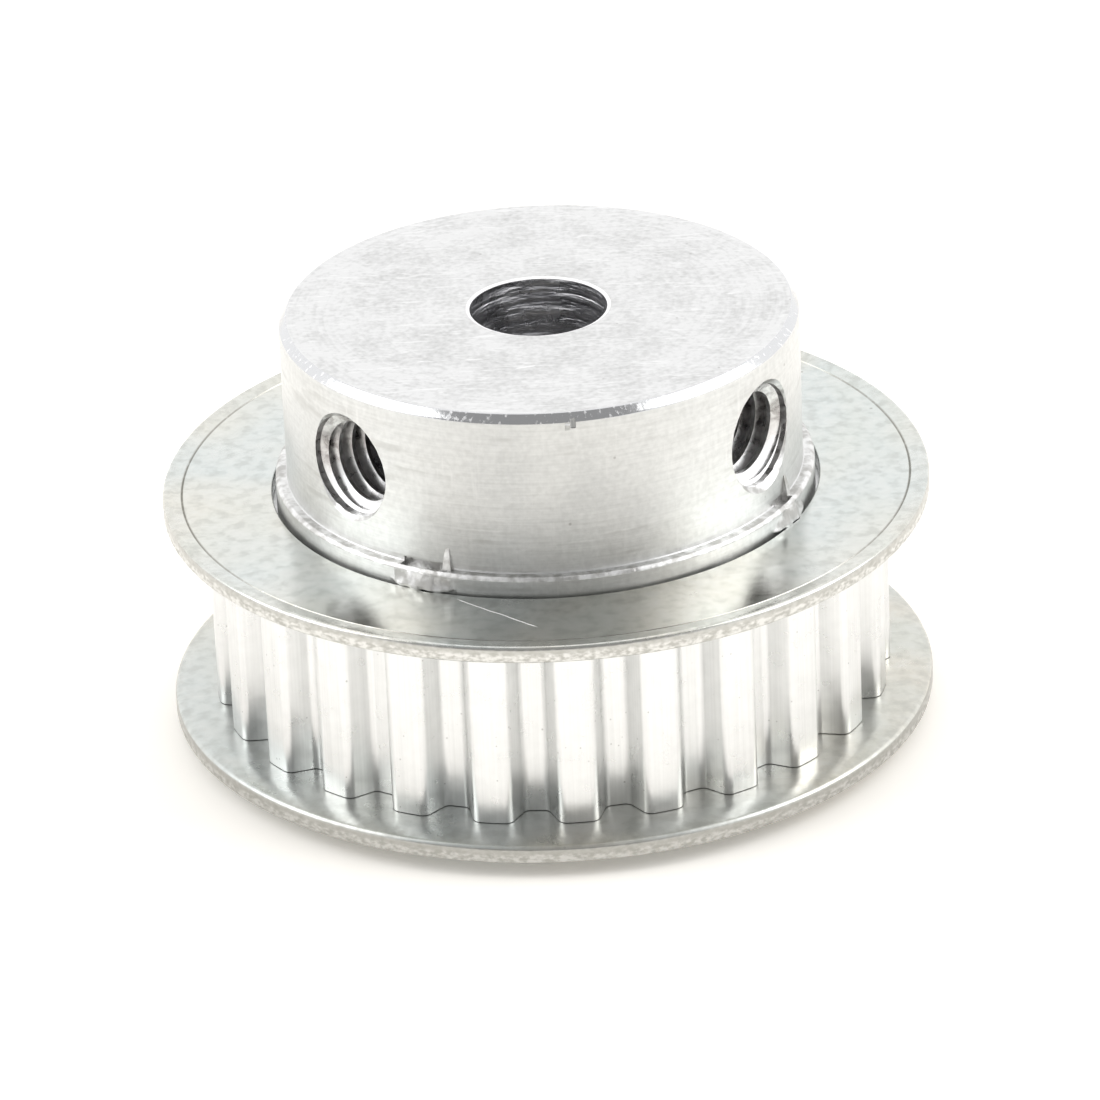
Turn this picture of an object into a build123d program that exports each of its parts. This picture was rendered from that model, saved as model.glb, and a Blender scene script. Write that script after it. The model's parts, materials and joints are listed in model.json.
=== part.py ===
from build123d import *
import os
from math import cos, degrees, pi, radians, tan

os.makedirs("parts", exist_ok=True)

# Flanged timing belt pulley with a one-sided hub, in millimetres.
# +Z runs along the bore from the back face (z = 0) to the hub's nose.
# Angles are degrees about Z from -Y, positive towards +X.

# Belt teeth: XL section, straight-sided
belt_pitch = 5.08
tooth_count = 25
first_tooth_angle = 3.2
pitch_line_above_tips = 0.254
space_depth = 1.65
space_bottom_width = 1.32
space_half_angle = 25
space_bottom_fillet = 0.41
tooth_tip_radius = 0.64
core_below_roots = 1.0
drum_core_overlap = 1.0

# Lengths along the axis
overall_length = 25.4
belt_face_width = 11.4
flange_thickness = 1.0
register_stand = 1.1

# Diameters
bore_diameter = 8.0
hub_diameter = 30.2
register_diameter = 31.56
flange_hole_diameter = 32.06
flange_diameter = 44.9
flange_bend_diameter = 42.64
flange_bend_angle = 9.5

# Edges
bore_edge_break = 0.08
nose_chamfer = 0.45
register_chamfer = 0.18
hub_root_fillet = 0.2
flange_edge_fillet = 0.12

# Stakes: four punch marks at each end push the register's edge out over the flange
stake_angles = [-27.5, 62.5, 152.5, 242.5]
stake_width = 3.0
stake_notch_depth = 0.55
stake_notch_into_hub = 0.12
stake_notch_up_hub = 0.3
stake_lip_thickness = 0.16
stake_lobe_reach = 0.33
stake_lobe_height = 0.8
stake_lobe_root = 0.3
stake_lobe_shoulder_height = 0.35
stake_lobe_shoulder_set_back = 0.08
stake_lobe_crown_reach = 0.05
stake_lobe_rounding = 0.22

# Radial tapped holes: M6 x 1, drawn as plain holes at the thread's major diameter
thread_diameter = 6.0
tapped_hole_angles = [-48.5, 56.5]
tapped_hole_mouths = [0.34, 0.5]
tapped_hole_height = 20.35

# Set screws: M6 x 6, hexagon socket, cup point
screw_clearance = 0.03
screw_length = 6.0
screw_socket_width = 3.0
screw_socket_depth = 3.2
screw_end_chamfer = 0.5
screw_point_diameter = 3.4
screw_point_height = 1.1
screw_cup_diameter = 2.4
screw_cup_depth = 0.5
screw_bore_gap = 0.2

# How far a cutting shape runs past the surface it cuts, and how near a corner lies to the tip circle
cutter_overrun = 1.0
on_tip_circle = 0.01

# Worked out from the values above
pitch_radius = tooth_count * belt_pitch / (2 * pi)
tip_radius = pitch_radius - pitch_line_above_tips
root_radius = tip_radius - space_depth
core_radius = root_radius - core_below_roots
bore_radius = bore_diameter / 2
hub_radius = hub_diameter / 2
register_radius = register_diameter / 2
flange_hole_radius = flange_hole_diameter / 2
flange_radius = flange_diameter / 2
drum_bottom = register_stand + flange_thickness
drum_top = drum_bottom + belt_face_width
register_top = drum_top + flange_thickness + register_stand
flange_seat_top = register_top - register_stand
screw_radius = thread_diameter / 2 - screw_clearance


def turned(points, arc=360):
    """A closed outline of (radius, height) points, turned about Z from +X through an arc."""
    outline = Plane.XZ * make_face(Polyline(*points, close=True))
    return revolve(outline, Axis.Z, arc)


def at_angle(angle, shape):
    """A shape made on the -Y side, carried round the axis by an angle."""
    return Rot(0, 0, angle) * shape


# ---- Toothed drum ----

def tooth_space():
    """One space between teeth on the -Y side: flat bottom, rounded corners, straight flanks."""
    beyond_tips = tip_radius + cutter_overrun
    half_bottom = space_bottom_width / 2
    half_mouth = half_bottom + (beyond_tips - root_radius) * tan(radians(space_half_angle))
    corners = [
        (-half_bottom, -root_radius),
        (half_bottom, -root_radius),
        (half_mouth, -beyond_tips),
        (-half_mouth, -beyond_tips),
    ]
    space = make_face(Polyline(*corners, close=True))
    bottom_corners = space.vertices().sort_by(Axis.Y)[-2:]
    return fillet(bottom_corners, space_bottom_fillet)


def drum_outline():
    """The belt's tooth profile all round, with rounded tooth tips, as a ring round the core."""
    tooth_angle = 360 / tooth_count
    outline = Circle(tip_radius) - Circle(core_radius - drum_core_overlap)
    for index in range(tooth_count):
        space_angle = first_tooth_angle + (index + 0.5) * tooth_angle
        outline -= at_angle(space_angle, tooth_space())
    tip_corners = [v for v in outline.vertices() if v.center().length > tip_radius - on_tip_circle]
    return fillet(tip_corners, tooth_tip_radius)


def drum():
    """The toothed length, between the two flanges."""
    return Pos(0, 0, drum_bottom) * extrude(drum_outline(), belt_face_width)


# ---- Turned core, hub and registers ----

def core():
    """Everything on the body that a lathe makes: registers, hub, nose chamfer and bore."""
    bore_mouth = bore_radius + bore_edge_break
    return turned([
        (bore_radius, bore_edge_break),
        (bore_mouth, 0),
        (register_radius - register_chamfer, 0),
        (register_radius, register_chamfer),
        (register_radius, drum_bottom),
        (core_radius, drum_bottom),
        (core_radius, drum_top),
        (register_radius, drum_top),
        (register_radius, register_top - register_chamfer),
        (register_radius - register_chamfer, register_top),
        (hub_radius + hub_root_fillet, register_top),
        (hub_radius, register_top + hub_root_fillet),
        (hub_radius, overall_length - nose_chamfer),
        (hub_radius - nose_chamfer, overall_length),
        (bore_mouth, overall_length),
        (bore_radius, overall_length - bore_edge_break),
    ])


# ---- Stakes ----

def turned_stake(points):
    """An outline turned through one stake's width, centred on the -Y side."""
    arc = degrees(stake_width / register_radius)
    return Rot(0, 0, -90 - arc / 2) * turned(points, arc)


def stake_lobe():
    """Register metal pushed outwards by the punch, sitting on the hub-side flange."""
    root = register_radius - stake_lobe_root
    foot = flange_hole_radius + stake_lobe_reach
    shoulder = flange_seat_top + stake_lobe_shoulder_height
    crown = flange_seat_top + stake_lobe_height
    lobe = turned_stake([
        (root, flange_seat_top),
        (foot, flange_seat_top),
        (foot - stake_lobe_shoulder_set_back, shoulder),
        (register_radius + stake_lobe_crown_reach, crown),
        (root, crown),
    ])
    end_edges = lobe.edges().filter_by(GeomType.LINE).sort_by(Axis.Y)[:4]
    return fillet(end_edges, stake_lobe_rounding)


def stake_notch():
    """The slot that the punch leaves behind a stake lobe, open at the register's top."""
    inner = hub_radius - stake_notch_into_hub
    outer = register_radius - stake_lip_thickness
    bottom = register_top - stake_notch_depth
    beyond = register_top + stake_notch_up_hub
    return turned_stake([(inner, bottom), (outer, bottom), (outer, beyond), (inner, beyond)])


def for_both_ends(shape):
    """A hub-side feature and its mirror image at the back end."""
    middle = Plane.XY.offset((drum_bottom + drum_top) / 2)
    return [shape, mirror(shape, about=middle)]


# ---- Tapped holes ----

def tapped_hole(mouth_depth):
    """A radial hole from the bore out through the hub on the -Y side, with a countersunk mouth."""
    start = bore_radius / 2
    radius = thread_diameter / 2
    outline = [
        (0, start),
        (radius, start),
        (radius, hub_radius - mouth_depth),
        (radius + mouth_depth + cutter_overrun, hub_radius + cutter_overrun),
        (0, hub_radius + cutter_overrun),
    ]
    return Pos(0, 0, tapped_hole_height) * Rot(90, 0, 0) * turned(outline)


def pulley_body():
    body = core() + drum()
    for angle in stake_angles:
        for lobe in for_both_ends(stake_lobe()):
            body += at_angle(angle, lobe)
        for notch in for_both_ends(stake_notch()):
            body -= at_angle(angle, notch)
    for angle, mouth in zip(tapped_hole_angles, tapped_hole_mouths):
        body -= at_angle(angle, tapped_hole(mouth))
    return body


# ---- Flanges ----

def hub_side_flange():
    """A flat ring with its rim bent away from the belt, rounded at the rim's edges."""
    bend = flange_bend_diameter / 2
    rise = (flange_radius - bend) * tan(radians(flange_bend_angle))
    points = [
        (flange_hole_radius, 0),
        (bend, 0),
        (flange_radius, rise),
        (flange_radius, rise + flange_thickness),
        (bend, flange_thickness),
        (flange_hole_radius, flange_thickness),
    ]
    section = make_face(Polyline(*points, close=True))
    rim_corners = section.vertices().sort_by(Axis.X)[-2:]
    section = fillet(rim_corners, flange_edge_fillet)
    return Pos(0, 0, drum_top) * revolve(Plane.XZ * section, Axis.Z)


# ---- Set screws ----

def set_screw():
    """A cup-point set screw along +Z, point down at z = 0, socket up."""
    point_radius = screw_point_diameter / 2
    cup_radius = screw_cup_diameter / 2
    blank = turned([
        (0, screw_cup_depth),
        (cup_radius, 0),
        (point_radius, 0),
        (screw_radius, screw_point_height),
        (screw_radius, screw_length - screw_end_chamfer),
        (screw_radius - screw_end_chamfer, screw_length),
        (0, screw_length),
    ])
    across_corners = screw_socket_width / cos(radians(30))
    hexagon = RegularPolygon(across_corners / 2, 6)
    socket = extrude(hexagon, screw_socket_depth + cutter_overrun)
    return blank - Pos(0, 0, screw_length - screw_socket_depth) * socket


def seated_screw(angle):
    """A set screw in its hole, backed off so that its point just clears the bore."""
    point_distance = bore_radius + screw_bore_gap
    on_minus_y = Pos(0, -point_distance, tapped_hole_height) * Rot(90, 0, 0) * set_screw()
    return at_angle(angle, on_minus_y)


# ---- Write one file for each piece ----

flange = hub_side_flange()
pieces = {
    "pulley_body": pulley_body(),
    "hub_side_flange": flange,
    "back_flange": for_both_ends(flange)[1],
}
for number, angle in enumerate(tapped_hole_angles, start=1):
    pieces[f"set_screw_{number}"] = seated_screw(angle)

for name, piece in pieces.items():
    export_step(piece, f"parts/{name}.step")
    size = piece.bounding_box().size
    print(name, "volume", round(piece.volume, 2), "size", [round(v, 2) for v in size])
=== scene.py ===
# %% [markdown]
# # A flanged timing belt pulley, 25 teeth, 8 mm bore
# The real object is three metal pieces and two screws: a turned and milled aluminium body, two pressed
# steel flanges that are staked onto it, and two set screws deep in its tapped holes.
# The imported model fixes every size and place. This lesson rebuilds each piece with finer geometry, so that
# bright metal shows no flat facets, and gives each one the finish that its process leaves.

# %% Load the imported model
import bmesh
import bpy
import json
import math
from mathutils import Matrix, Vector, noise

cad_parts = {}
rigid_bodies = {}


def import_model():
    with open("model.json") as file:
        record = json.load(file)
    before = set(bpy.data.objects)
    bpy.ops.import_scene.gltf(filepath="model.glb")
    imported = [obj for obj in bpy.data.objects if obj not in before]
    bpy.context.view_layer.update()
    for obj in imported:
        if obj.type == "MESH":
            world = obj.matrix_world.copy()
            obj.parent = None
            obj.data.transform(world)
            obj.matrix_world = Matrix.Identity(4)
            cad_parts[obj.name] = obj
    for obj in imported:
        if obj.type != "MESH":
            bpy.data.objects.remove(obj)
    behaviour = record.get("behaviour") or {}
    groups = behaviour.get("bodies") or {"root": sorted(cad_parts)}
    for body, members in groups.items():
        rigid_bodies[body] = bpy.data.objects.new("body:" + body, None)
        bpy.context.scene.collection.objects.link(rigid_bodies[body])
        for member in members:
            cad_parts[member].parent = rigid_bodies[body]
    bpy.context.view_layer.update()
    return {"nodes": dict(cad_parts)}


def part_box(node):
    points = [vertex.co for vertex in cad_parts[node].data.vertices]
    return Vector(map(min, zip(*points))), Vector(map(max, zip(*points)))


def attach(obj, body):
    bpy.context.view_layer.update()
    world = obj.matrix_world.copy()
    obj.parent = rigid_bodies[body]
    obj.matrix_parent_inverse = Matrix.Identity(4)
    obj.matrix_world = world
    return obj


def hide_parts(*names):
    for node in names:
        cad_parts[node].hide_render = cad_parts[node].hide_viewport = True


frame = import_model()

# %% [markdown]
# ## Sizes
# Lengths are in metres, so a millimetre gets a name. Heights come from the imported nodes' boxes. Radii
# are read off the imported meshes: the largest distance from the axis between two heights.

# %% Measure the frame
MM = 0.001


def reach(node, low, high):
    """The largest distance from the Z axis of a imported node's points between two heights."""
    points = [v.co for v in frame["nodes"][node].data.vertices]
    return max(math.hypot(p.x, p.y) for p in points if low <= p.z <= high)


def hole(node):
    """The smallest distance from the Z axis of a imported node's points."""
    points = [v.co for v in frame["nodes"][node].data.vertices]
    return min(math.hypot(p.x, p.y) for p in points)


_, back_high = (corner.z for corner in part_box("back_flange"))
nose_low, nose_high = (corner.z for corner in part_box("hub_side_flange"))
body_low, body_high = (corner.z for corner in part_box("pulley_body"))
TOP = body_high
DRUM_LOW = back_high
DRUM_HIGH = nose_low
FLANGE_THICK = 1.0 * MM
REGISTER_STAND = DRUM_LOW - FLANGE_THICK
REGISTER_TOP = DRUM_HIGH + FLANGE_THICK + REGISTER_STAND
R_BORE = hole("pulley_body")
R_HUB = reach("pulley_body", REGISTER_TOP + 1 * MM, TOP - 0.5 * MM)
R_TIP = reach("pulley_body", DRUM_LOW, DRUM_HIGH)
R_REGISTER = reach("pulley_body", body_low, body_low + 0.2 * MM)
R_FLANGE = reach("hub_side_flange", nose_low, nose_high)
R_FLANGE_HOLE = hole("hub_side_flange")
print("radii in mm:", [round(r / MM, 2) for r in (R_BORE, R_HUB, R_REGISTER, R_TIP, R_FLANGE_HOLE, R_FLANGE)])
print("heights in mm:", [round(h / MM, 2) for h in (DRUM_LOW, DRUM_HIGH, REGISTER_TOP, TOP)])

# %% [markdown]
# ## Helpers for turned shapes
# A lathe makes a shape from one outline, and so does a spin. Each outline is a list of (radius, height)
# points. Its corners are rounded first, because a real edge always has a small radius that catches light.
# The outline is a face while its corners are bevelled. For a full turn only its edges are spun, so nothing
# is left inside.
#
# The manifold solver takes closed meshes and gives closed ones back, where the exact solver can lose a part
# of the shape when two surfaces nearly coincide. Each result is still weighed: a cut can't remove more than
# its tool, and a union can't lose anything. A wrong one is made again after the tool has been nudged by about
# a thousandth of a millimetre, and is left out if that never helps, so a small detail can't spoil a body.

# %% Outline, spin and boolean helpers
ROUND_STEPS = 360
FULL_TURN = 2 * math.pi
CORNER_SEGMENTS = 6
MERGE_DISTANCE = 0.0005 * MM
AXIS_TOLERANCE = 0.001 * MM
TRIES = 8
NUDGE = Vector((0.0011, -0.0007, 0.0009)) * MM
VOLUME_SLACK = 1.0
LEAST_COMMON_SHARE = 0.3


def rounded(bm, corner, radius, segments):
    """Rounds one corner of a flat face."""
    bmesh.ops.bevel(bm, geom=[corner], offset=radius, offset_type="OFFSET", affect="VERTICES",
                    segments=segments, profile=0.5, material=-1)


def spin(bm, geometry, angle, steps, **options):
    """Carries geometry round the Z axis."""
    bmesh.ops.spin(bm, geom=geometry, cent=(0, 0, 0), axis=(0, 0, 1), angle=angle, steps=steps, **options)


def outline_face(bm, points, rounding):
    """Draws a face in the XZ plane from (radius, height) points, and rounds {corner: radius} corners."""
    corners = [bm.verts.new((r, 0, z)) for r, z in points]
    bm.faces.new(corners)
    for index, radius in rounding.items():
        rounded(bm, corners[index], radius, CORNER_SEGMENTS)


def finished(bm, name):
    """A mesh object from a bmesh, with its doubles merged and its faces turned outwards."""
    bmesh.ops.remove_doubles(bm, verts=bm.verts[:], dist=MERGE_DISTANCE)
    bmesh.ops.recalc_face_normals(bm, faces=bm.faces[:])
    mesh = bpy.data.meshes.new(name)
    bm.to_mesh(mesh)
    bm.free()
    piece = bpy.data.objects.new(name, mesh)
    bpy.context.scene.collection.objects.link(piece)
    return piece


def turned(name, points, rounding=None, arc=FULL_TURN, steps=ROUND_STEPS):
    """An outline spun about Z, all the way round or through an arc that starts at +X."""
    bm = bmesh.new()
    outline_face(bm, points, rounding or {})
    if arc < FULL_TURN:
        spin(bm, bm.faces[:] + bm.edges[:] + bm.verts[:], arc, steps, use_merge=False)
        return finished(bm, name)
    bmesh.ops.delete(bm, geom=bm.faces[:], context="FACES_ONLY")
    on_axis = [e for e in bm.edges if max(abs(v.co.x) for v in e.verts) < AXIS_TOLERANCE]
    bmesh.ops.delete(bm, geom=on_axis, context="EDGES")
    spin(bm, bm.edges[:] + bm.verts[:], arc, steps, use_merge=True)
    return finished(bm, name)


def placed(piece, matrix):
    """Moves a piece's mesh, so that its object stays at the origin."""
    piece.data.transform(matrix)
    return piece


def joined(name, pieces):
    """Several pieces that don't touch, in one piece."""
    bm = bmesh.new()
    for piece in pieces:
        bm.from_mesh(piece.data)
        bpy.data.objects.remove(piece)
    return finished(bm, name)


def weighed(mesh):
    """A mesh's volume in cubic millimetres, and how many edges lack a face: 0 for a closed mesh."""
    bm = bmesh.new()
    bm.from_mesh(mesh)
    volume = bm.calc_volume(signed=True) / MM ** 3
    unclosed = sum(1 for e in bm.edges if len(e.link_faces) != 2)
    bm.free()
    return volume, unclosed


def applied(piece):
    """The mesh that a piece's modifiers make, which are then removed."""
    shaped = piece.evaluated_get(bpy.context.evaluated_depsgraph_get())
    mesh = bpy.data.meshes.new_from_object(shaped)
    piece.modifiers.clear()
    return mesh


def combine(piece, tool, operation):
    """Joins, cuts or intersects a piece's mesh with a tool's, which is then removed."""
    before, tool_volume = weighed(piece.data)[0], weighed(tool.data)[0]
    least = {"UNION": before, "DIFFERENCE": before - tool_volume,
             "INTERSECT": LEAST_COMMON_SHARE * before}[operation]
    most = before + tool_volume if operation == "UNION" else before
    for attempt in range(TRIES):
        step = piece.modifiers.new("combine", "BOOLEAN")
        step.operation = operation
        step.solver = "MANIFOLD"
        step.object = tool
        mesh = applied(piece)
        after, unclosed = weighed(mesh)
        in_range = least - VOLUME_SLACK < after < most + VOLUME_SLACK
        if unclosed == 0 and in_range and after != before:
            mesh.materials.clear()
            piece.data = mesh
            mesh.name = piece.name
            break
        print("tried again:", piece.name, operation, round(after, 1), "mm3,", unclosed, "open edges")
        placed(tool, Matrix.Translation(NUDGE * (attempt + 1)))
    else:
        print("left out:", tool.name)
    bpy.data.objects.remove(tool)
    return piece


def around(angle):
    """A turn about the axis: 0 keeps a shape on -Y, and a positive angle in degrees goes towards +X."""
    return Matrix.Rotation(math.radians(angle), 4, "Z")


def measured(piece):
    """A piece's faces, volume and open edges, to print."""
    volume, unclosed = weighed(piece.data)
    return f"{len(piece.data.polygons)} faces, {volume:.1f} mm3, {unclosed} open edges"


# %% [markdown]
# ## The turned core of the body
# The hub, its chamfered nose, the two registers that the flanges sit on, and the bore are one turning.
# The register is a shoulder a little wider than the hub, and a tool leaves a small fillet between them.
# Near the nose, the bore has three shallow scores from the drill's first wander. The rounding is listed by
# the outline's corner number.

# %% Turn the core
NOSE_CHAMFER = 0.45 * MM
CORE_RADIUS = R_TIP - 2.65 * MM
REGISTER_EDGE = 0.18 * MM
BORE_BREAK = 0.2 * MM
BORE_BREAK_DEPTH = 0.08 * MM
SCORES = ((0.5 * MM, 0.02 * MM), (0.93 * MM, 0.028 * MM), (1.62 * MM, 0.016 * MM))
SCORE_HALF_WIDTH = 0.1 * MM
CORE_ROUNDING = {3: 0.08 * MM, 8: 0.05 * MM, 9: 0.05 * MM, 10: 0.1 * MM, 11: 0.06 * MM, 12: 0.08 * MM}

core_outline = [
    (R_BORE, BORE_BREAK_DEPTH),
    (R_BORE + BORE_BREAK, 0),
    (R_REGISTER - REGISTER_EDGE, 0),
    (R_REGISTER, REGISTER_EDGE),
    (R_REGISTER, DRUM_LOW),
    (CORE_RADIUS, DRUM_LOW),
    (CORE_RADIUS, DRUM_HIGH),
    (R_REGISTER, DRUM_HIGH),
    (R_REGISTER, REGISTER_TOP - REGISTER_EDGE),
    (R_REGISTER - REGISTER_EDGE, REGISTER_TOP),
    (R_HUB, REGISTER_TOP),
    (R_HUB, TOP - NOSE_CHAMFER),
    (R_HUB - NOSE_CHAMFER, TOP),
    (R_BORE + BORE_BREAK, TOP),
    (R_BORE, TOP - BORE_BREAK_DEPTH),
]
for depth, cut in SCORES:
    above, below = TOP - depth + SCORE_HALF_WIDTH, TOP - depth - SCORE_HALF_WIDTH
    core_outline += [(R_BORE, above), (R_BORE + cut, TOP - depth), (R_BORE, below)]
body = turned("timing_pulley_body", core_outline, CORE_ROUNDING)
print("core:", measured(body))

# %% [markdown]
# ## The toothed drum
# The belt's section fixes one tooth: a flat land, rounded tips, straight flanks 25 degrees off the radius
# and a flat-bottomed space. One sector of the drum is drawn from space to space, its corners are rounded,
# and a spin with duplicates lays 25 of them round. The flat result is raised and joined to the core. The
# tooth ends stop a hair short of the flanges, which is the thin dark joint where a pressed disc lies against
# a milled face.

# %% Make the drum
TEETH = 25
FIRST_TOOTH = 3.2
SPACE_DEPTH = 1.65 * MM
SPACE_BOTTOM = 1.32 * MM
FLANK = math.radians(25)
SPACE_FILLET = 0.3 * MM
TIP_ROUNDING = 0.4 * MM
FLANGE_JOINT = 0.036 * MM
TOOTH_SEGMENTS = 5
SECTOR_MERGE = 0.002 * MM
CORE_OVERLAP = 1.0 * MM

root = R_TIP - SPACE_DEPTH
half_pitch = math.pi / TEETH
half_bottom = SPACE_BOTTOM / 2
half_mouth = half_bottom + SPACE_DEPTH * math.tan(FLANK)
inner = CORE_RADIUS - CORE_OVERLAP
drum_low = DRUM_LOW + FLANGE_JOINT
drum_height = DRUM_HIGH - DRUM_LOW - 2 * FLANGE_JOINT


def polar(radius, angle):
    """A point on the drum's lower face, at an angle from the sector's middle line."""
    return Vector((radius * math.cos(angle), radius * math.sin(angle), drum_low))


def space_corner(radius, half_width, side):
    """A corner of the tooth space on one side of the sector, whose middle line is the tooth's."""
    angle = half_pitch - math.asin(half_width / radius)
    return polar(radius, side * angle)


def make_drum():
    """25 tooth sectors, merged and raised to the drum's height."""
    bm = bmesh.new()
    points = [polar(inner, -half_pitch), polar(root, -half_pitch)]
    points += [space_corner(root, half_bottom, -1), space_corner(R_TIP, half_mouth, -1)]
    points += [polar(R_TIP, 0)]
    points += [space_corner(R_TIP, half_mouth, 1), space_corner(root, half_bottom, 1)]
    points += [polar(root, half_pitch), polar(inner, half_pitch)]
    corners = [bm.verts.new(p) for p in points]
    bm.faces.new(corners)
    for index, radius in ((2, SPACE_FILLET), (3, TIP_ROUNDING), (5, TIP_ROUNDING), (6, SPACE_FILLET)):
        rounded(bm, corners[index], radius, TOOTH_SEGMENTS)
    spin(bm, bm.faces[:], FULL_TURN, TEETH, use_duplicate=True, use_merge=False)
    bmesh.ops.remove_doubles(bm, verts=bm.verts[:], dist=SECTOR_MERGE)
    raised = bmesh.ops.extrude_face_region(bm, geom=bm.faces[:], use_keep_orig=True)
    lifted = [g for g in raised["geom"] if isinstance(g, bmesh.types.BMVert)]
    bmesh.ops.translate(bm, verts=lifted, vec=(0, 0, drum_height))
    return finished(bm, "drum")


drum = placed(make_drum(), around(FIRST_TOOTH - 90))
print("drum:", measured(drum))
combine(body, drum, "UNION")
print("body with drum:", measured(body))

# %% [markdown]
# ## Stakes
# The flanges aren't screwed or glued. A blunt punch drives into the register's edge at four places, and the
# metal it pushes outwards lies over the flange like a rivet. Each stake has a slot where the punch went in,
# a lobe over the flange, and a raised sliver where the tool scraped up the hub's wall. Each of these is a
# short turned arc, and a little noise on its points takes away the machined look. The sliver's outline is a
# list of (outwards, upwards) steps in millimetres from the corner at the hub's foot. The noise is seeded,
# because it would otherwise start from the clock and change from run to run.

# %% Punch the stakes
STAKES = ((-27.5, 3.0 * MM), (62.5, 1.7 * MM), (152.5, 2.6 * MM), (242.5, 2.1 * MM))
LOBE_REACH = 0.12 * MM
LOBE_HEIGHT = 0.92 * MM
LOBE_FOOT = 0.01 * MM
LOBE_EDGE = 0.14 * MM
LOBE_CROWN = 0.02 * MM
LOBE_ROOT = 0.6 * MM
LOBE_ROUNDING = {2: 0.08 * MM, 3: 0.1 * MM}
LOBE_TAPER = 0.034
LOBE_WIDTH = 5.2 * MM
LOBE_STEPS = 26
SLOT_OUTLINE_TOP = 0.3 * MM
SLOT_INTO_HUB = 0.1 * MM
SLOT_DEPTH = 0.24 * MM
SLOT_LIP = 0.2 * MM
SLIVER_OUTLINE = ((-0.2, -0.3), (0.32, -0.3), (0.22, 0.5), (0.02, 1.3), (-0.2, 1.3))
SLIVER_WIDTH = 0.6 * MM
SLIVER_TIP = 0.4
SLIVER_FROM_MIDDLE = 0.47
FAR_END_SEED = 20
SLIVER_SEED = 7
MIDDLE = (DRUM_LOW + DRUM_HIGH) / 2
SEAT_TOP = DRUM_HIGH + FLANGE_THICK
noise.seed_set(11)


def beside(radius, height, outline):
    """An outline from its steps in millimetres outwards and upwards of a corner."""
    return [(radius + out * MM, height + up * MM) for out, up in outline]


def stake_arc(name, points, rounding, width, steps=14):
    """A short turned arc, centred on -Y."""
    arc = width / R_REGISTER
    piece = turned(name, points, rounding, arc, steps)
    return placed(piece, Matrix.Rotation(-math.pi / 2 - arc / 2, 4, "Z"))


def roughened(piece, amount, size, seed):
    """Moves each point a little along smooth noise."""
    for v in piece.data.vertices:
        v.co += amount * noise.noise_vector(v.co / size + Vector((seed, 0, 0)))
    return piece


def stake_lobe(seed):
    """Metal pushed out until it lies on the flange, highest in the middle and uneven along its edge."""
    foot = R_FLANGE_HOLE + LOBE_REACH
    points = [
        (R_REGISTER - LOBE_ROOT, SEAT_TOP + LOBE_FOOT),
        (foot, SEAT_TOP + LOBE_FOOT),
        (foot, SEAT_TOP + LOBE_EDGE),
        (R_REGISTER + LOBE_CROWN, SEAT_TOP + LOBE_HEIGHT),
        (R_REGISTER - LOBE_ROOT, SEAT_TOP + LOBE_HEIGHT),
    ]
    lobe = stake_arc("lobe", points, LOBE_ROUNDING, LOBE_WIDTH, LOBE_STEPS)
    half_arc = LOBE_WIDTH / R_REGISTER / 2
    for v in lobe.data.vertices:
        share = abs(math.atan2(v.co.x, -v.co.y)) / half_arc
        v.co.xy *= 1 - LOBE_TAPER * share ** 2
    return roughened(lobe, amount=0.08 * MM, size=0.42 * MM, seed=seed)


def stake_slot(width, seed):
    """The room that the punch leaves between the hub's wall and the lobe's lip."""
    low, high = REGISTER_TOP - SLOT_DEPTH, REGISTER_TOP + SLOT_OUTLINE_TOP
    inner_wall, lip = R_HUB - SLOT_INTO_HUB, R_REGISTER - SLOT_LIP
    slot = stake_arc("slot", [(inner_wall, low), (lip, low), (lip, high), (inner_wall, high)], {}, width)
    return roughened(slot, amount=0.05 * MM, size=0.6 * MM, seed=seed)


def stake_sliver(seed):
    """A raised sliver up the hub's wall at the slot's end, narrower towards its tip."""
    points = beside(R_HUB, REGISTER_TOP, SLIVER_OUTLINE)
    low, high = points[0][1], points[-1][1]
    sliver = stake_arc("sliver", points, {}, SLIVER_WIDTH)
    for v in sliver.data.vertices:
        v.co.x *= 1 + (SLIVER_TIP - 1) * (v.co.z - low) / (high - low)
    return roughened(sliver, amount=0.03 * MM, size=0.35 * MM, seed=seed)


flipped = Matrix.Translation((0, 0, 2 * MIDDLE)) @ Matrix.Scale(-1, 4, (0, 0, 1))
lobes, slots, slivers = [], [], []
for number, (angle, width) in enumerate(STAKES):
    slot_end = around(angle + SLIVER_FROM_MIDDLE * math.degrees(width / R_REGISTER))
    for seed, place in ((number, around(angle)), (number + FAR_END_SEED, around(angle) @ flipped)):
        lobes.append(placed(stake_lobe(seed), place))
        slots.append(placed(stake_slot(width, seed), place))
    slivers.append(placed(stake_sliver(number + SLIVER_SEED), slot_end))
combine(body, joined("lobes", lobes), "UNION")
combine(body, joined("slots", slots), "DIFFERENCE")
combine(body, joined("slivers", slivers), "UNION")
print("body with stakes:", measured(body))

# %% [markdown]
# A knock on the nose's edge leaves a dent in the chamfer and a small burr hanging under it.

# %% Dent the chamfer
NICK_ANGLE = 6.3
BURR_ANGLE = NICK_ANGLE - 1.2
DENT_WIDTH = 0.34 * MM
BURR_WIDTH = 0.3 * MM
DENT_OUTLINE = ((-0.1, -0.85), (0.2, -0.85), (0.2, -0.3), (-0.34, -0.3))
BURR_OUTLINE = ((-0.2, -1.0), (0.02, -0.95), (0.12, -0.6), (-0.2, -0.45))
NICK_STEPS = 5

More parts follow.
